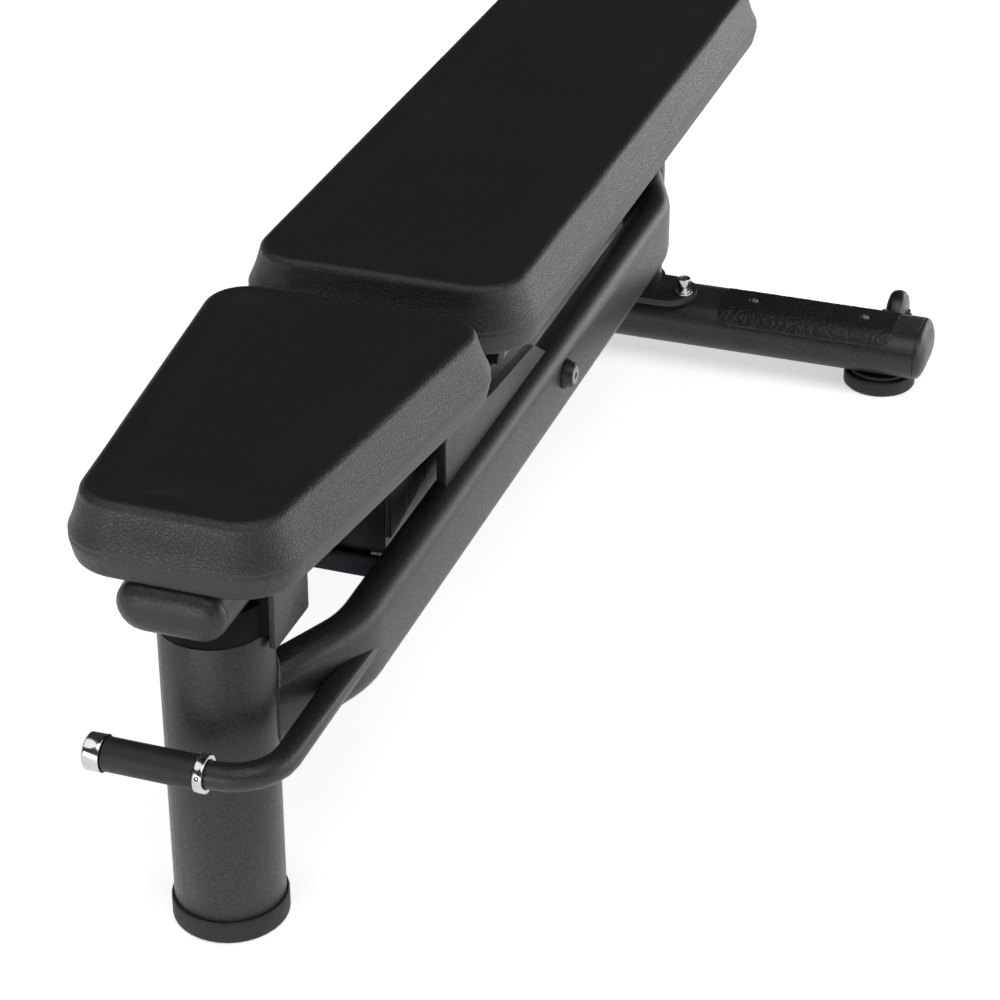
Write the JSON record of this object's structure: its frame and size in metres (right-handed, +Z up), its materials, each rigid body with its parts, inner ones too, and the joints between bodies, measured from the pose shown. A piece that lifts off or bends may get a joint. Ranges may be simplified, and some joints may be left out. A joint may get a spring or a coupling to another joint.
{
  "type": "adjustable weight bench",
  "caption": "Flat-to-upright weight bench: tapered seat and hinged back pad on twin beams, round posts and a cross base with feet, transport wheels and a front lifting handle.",
  "frame": {"origin": "on the floor, under the middle of the bench's length and width", "axes": "+Z up, -Y towards the seat end and its handle, +X towards the side with the handle's leg"},
  "size_m": [0.7786, 1.4327, 0.463],
  "materials": {
    "paint": "matte black fine-textured powder coat",
    "rubber": "matte black rubber",
    "nylon": "black low-friction plastic",
    "zinc": "satin zinc plate",
    "dark_steel": "dark polished steel",
    "chrome": "polished",
    "grip": "smooth matte black grip",
    "leatherette": "black pebble-grained upholstery",
    "board": "dark stained board"
  },
  "bodies": {
    "frame": {"front_post": "paint", "rear_post": "paint", "front_foot": "rubber", "backrest_rest": "rubber", "seat_guide_ear_right": "paint", "seat_guide_ear_left": "paint", "seat_guide_cradle": "nylon", "right_beam": "paint", "left_beam": "paint", "hinge_plate_right": "paint", "hinge_plate_left": "paint", "backrest_axle": "zinc", "rack_plate_right": "zinc", "rack_plate_left": "zinc", "seat_rail": "paint", "front_cross_plate": "dark_steel", "rail_front_plate": "dark_steel", "rack_tray": "dark_steel", "rear_cross_plate": "dark_steel", "beam_boss_right": "paint", "beam_boss_left": "paint", "boss_screw_right": "zinc", "boss_screw_left": "zinc", "base_tube": "paint", "base_cap_right": "paint", "base_cap_left": "paint", "rear_foot_right": "rubber", "rear_foot_left": "rubber", "rear_foot_plate_right": "paint", "rear_foot_plate_left": "paint", "step_pad_right": "rubber", "step_pad_left": "rubber", "step_screw_right_1": "zinc", "step_screw_right_2": "zinc", "step_screw_left_1": "zinc", "step_screw_left_2": "zinc", "flange_plate": "paint", "flange_screw_right": "chrome", "flange_screw_left": "chrome", "handle_tube": "paint", "handle_grip": "grip", "handle_collar": "chrome", "handle_end_cap": "chrome", "wheel_fork_right": "paint", "wheel_fork_left": "paint", "wheel_axle_right": "zinc", "wheel_axle_left": "zinc"},
    "seat": {"seat_pad": "leatherette", "seat_board": "board", "seat_tube": "paint", "seat_tube_cap": "paint"},
    "backrest": {"back_pad": "leatherette", "back_board": "board", "back_tube": "paint", "back_hinge": "paint", "prop_clevis": "paint", "prop_pivot_pin": "zinc"},
    "prop": {"prop": "zinc"},
    "right_wheel": {"transport_wheel_right": "rubber"},
    "left_wheel": {"transport_wheel_left": "rubber"}
  },
  "joints": [
    {"name": "backrest_recline", "type": "hinge", "parent": "frame", "child": "backrest", "pos_m": [0, -0.20025, 0.37], "axis": [1, 0, 0], "range_deg": [0, 80]},
    {"name": "prop_swing", "type": "hinge", "parent": "backrest", "child": "prop", "pos_m": [0, 0.06975, 0.33], "axis": [-1, 0, 0], "range_deg": [0, 137]},
    {"name": "seat_slide", "type": "slide", "parent": "frame", "child": "seat", "axis": [0, -1, 0], "range_m": [0, 0.058]},
    {"name": "right_wheel_spin", "type": "hinge", "parent": "frame", "child": "right_wheel", "pos_m": [0.33, 0.68375, 0.048], "axis": [1, 0, 0], "continuous": true},
    {"name": "left_wheel_spin", "type": "hinge", "parent": "frame", "child": "left_wheel", "pos_m": [-0.33, 0.68375, 0.048], "axis": [1, 0, 0], "continuous": true}
  ],
  "couplings": [
    {"joint": "prop_swing", "follows": "backrest_recline", "ratio": 1.71},
    {"joint": "seat_slide", "follows": "backrest_recline", "m_per_rad": 0.041}
  ]
}
